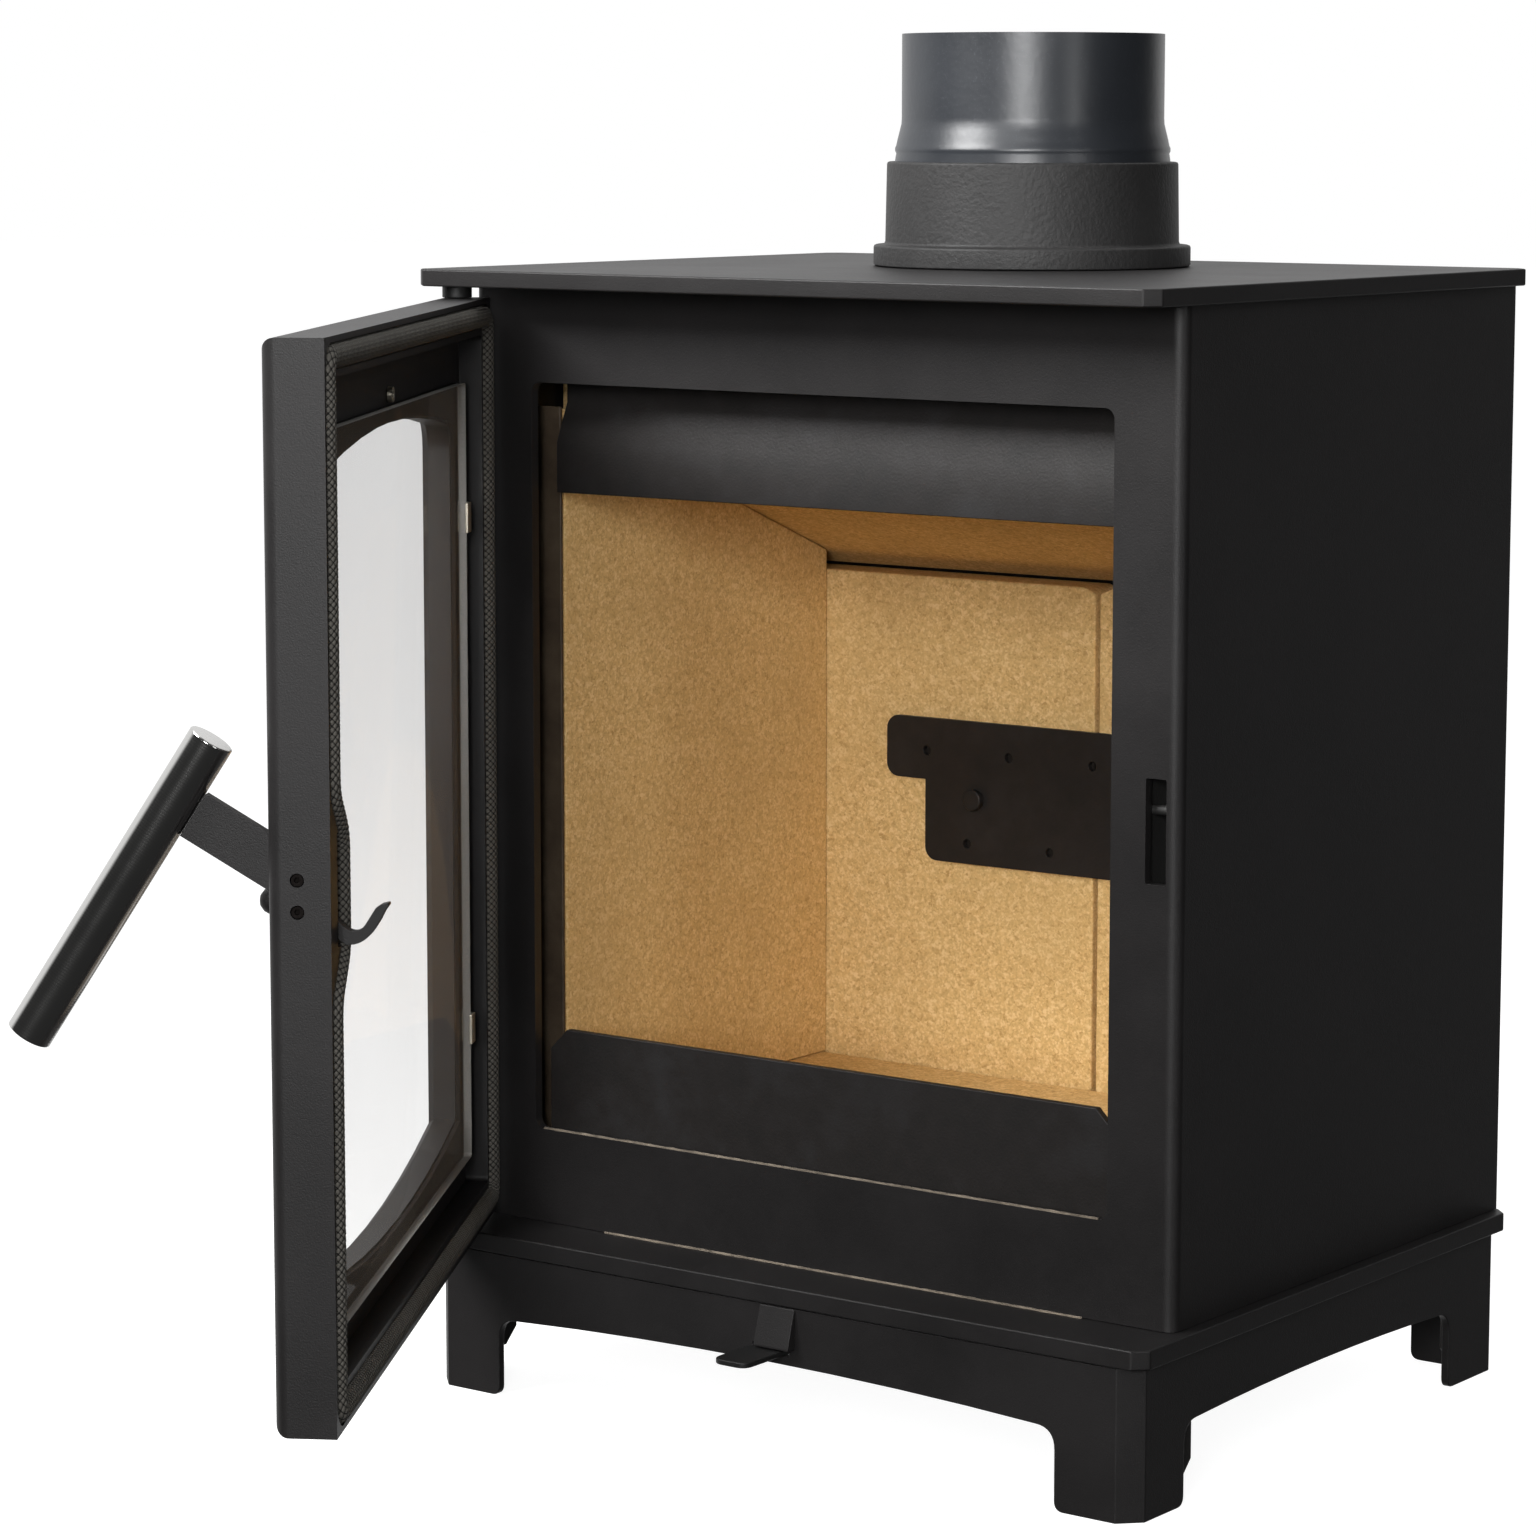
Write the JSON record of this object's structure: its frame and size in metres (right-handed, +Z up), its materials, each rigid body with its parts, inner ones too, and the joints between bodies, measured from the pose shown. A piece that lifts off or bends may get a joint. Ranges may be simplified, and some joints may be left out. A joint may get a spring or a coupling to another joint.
{
  "type": "wood burning stove",
  "caption": "Small steel stove with a flue spigot on its flat top, lined firebox, side-hinged glazed door standing open, lift-up latch handle, sliding air lever and arched plinth.",
  "frame": {"origin": "on the floor, under the middle of the whole bounding box, with the door as it is stored, 59 degrees open", "axes": "+Z up, -Y out of the door opening (the front), +X to the right seen from the front"},
  "size_m": [0.4118, 0.71, 0.6465],
  "materials": {
    "stove_paint": "matt charcoal heat-resistant paint",
    "black_steel": "dark heat-stained steel",
    "fire_brick": "coarse pressed vermiculite board",
    "plated_steel": "zinc plated",
    "cast_iron": "matt painted casting",
    "enamel": "satin vitreous enamel",
    "rope": "knitted glass fibre rope",
    "stove_glass": "clear ceramic glass",
    "stainless": "polished stainless steel"
  },
  "bodies": {
    "stove": {"plinth_skirt": "stove_paint", "base_plate": "stove_paint", "body_shell": "stove_paint", "rear_plate": "stove_paint", "top_plate": "stove_paint", "air_lever_hood": "stove_paint", "latch_keeper": "black_steel", "brick_retainer_left": "black_steel", "brick_retainer_right": "black_steel", "leg_bracket_front_left": "black_steel", "leg_bracket_rear_left": "black_steel", "leg_bracket_front_right": "black_steel", "leg_bracket_rear_right": "black_steel", "air_plate_bolt_left": "black_steel", "air_plate_bolt_right": "black_steel", "secondary_air_plate": "black_steel", "air_wash_deflector": "black_steel", "log_fence": "black_steel", "side_brick_left": "fire_brick", "side_brick_right": "fire_brick", "back_brick_left": "fire_brick", "back_brick_right": "fire_brick", "hearth_brick": "fire_brick", "baffle_brick": "fire_brick", "hinge_pin_lower": "plated_steel", "hinge_pin_upper": "plated_steel", "flue_collar": "cast_iron", "flue_pipe": "enamel"},
    "door": {"door_casting": "stove_paint", "door_glass": "stove_glass", "glass_gasket": "rope", "door_rope": "rope", "edge_screw_upper": "black_steel", "edge_screw_lower": "black_steel", "latch_dome_bolt": "stove_paint", "door_screw_top": "plated_steel", "handle_pivot_pin": "plated_steel", "glass_clip_upper_left": "plated_steel", "glass_clip_lower_left": "plated_steel", "glass_clip_upper_right": "plated_steel", "glass_clip_lower_right": "plated_steel"},
    "handle": {"latch_lever": "black_steel", "handle_bar": "stainless"},
    "air_control": {"air_lever": "black_steel"}
  },
  "joints": [
    {"name": "door_hinge", "type": "hinge", "parent": "stove", "child": "door", "pos_m": [-0.19261, 0.03704, 0.3], "axis": [0, 0, 1], "range_deg": [-61, 59]},
    {"name": "handle_pivot", "type": "hinge", "parent": "door", "child": "handle", "pos_m": [0.00302, -0.28757, 0.3025], "axis": [0.515, -0.8572, 0], "range_deg": [0, 32.3]},
    {"name": "air_slide", "type": "slide", "parent": "stove", "child": "air_control", "axis": [0, 1, 0], "range_m": [0, 0.018]}
  ]
}
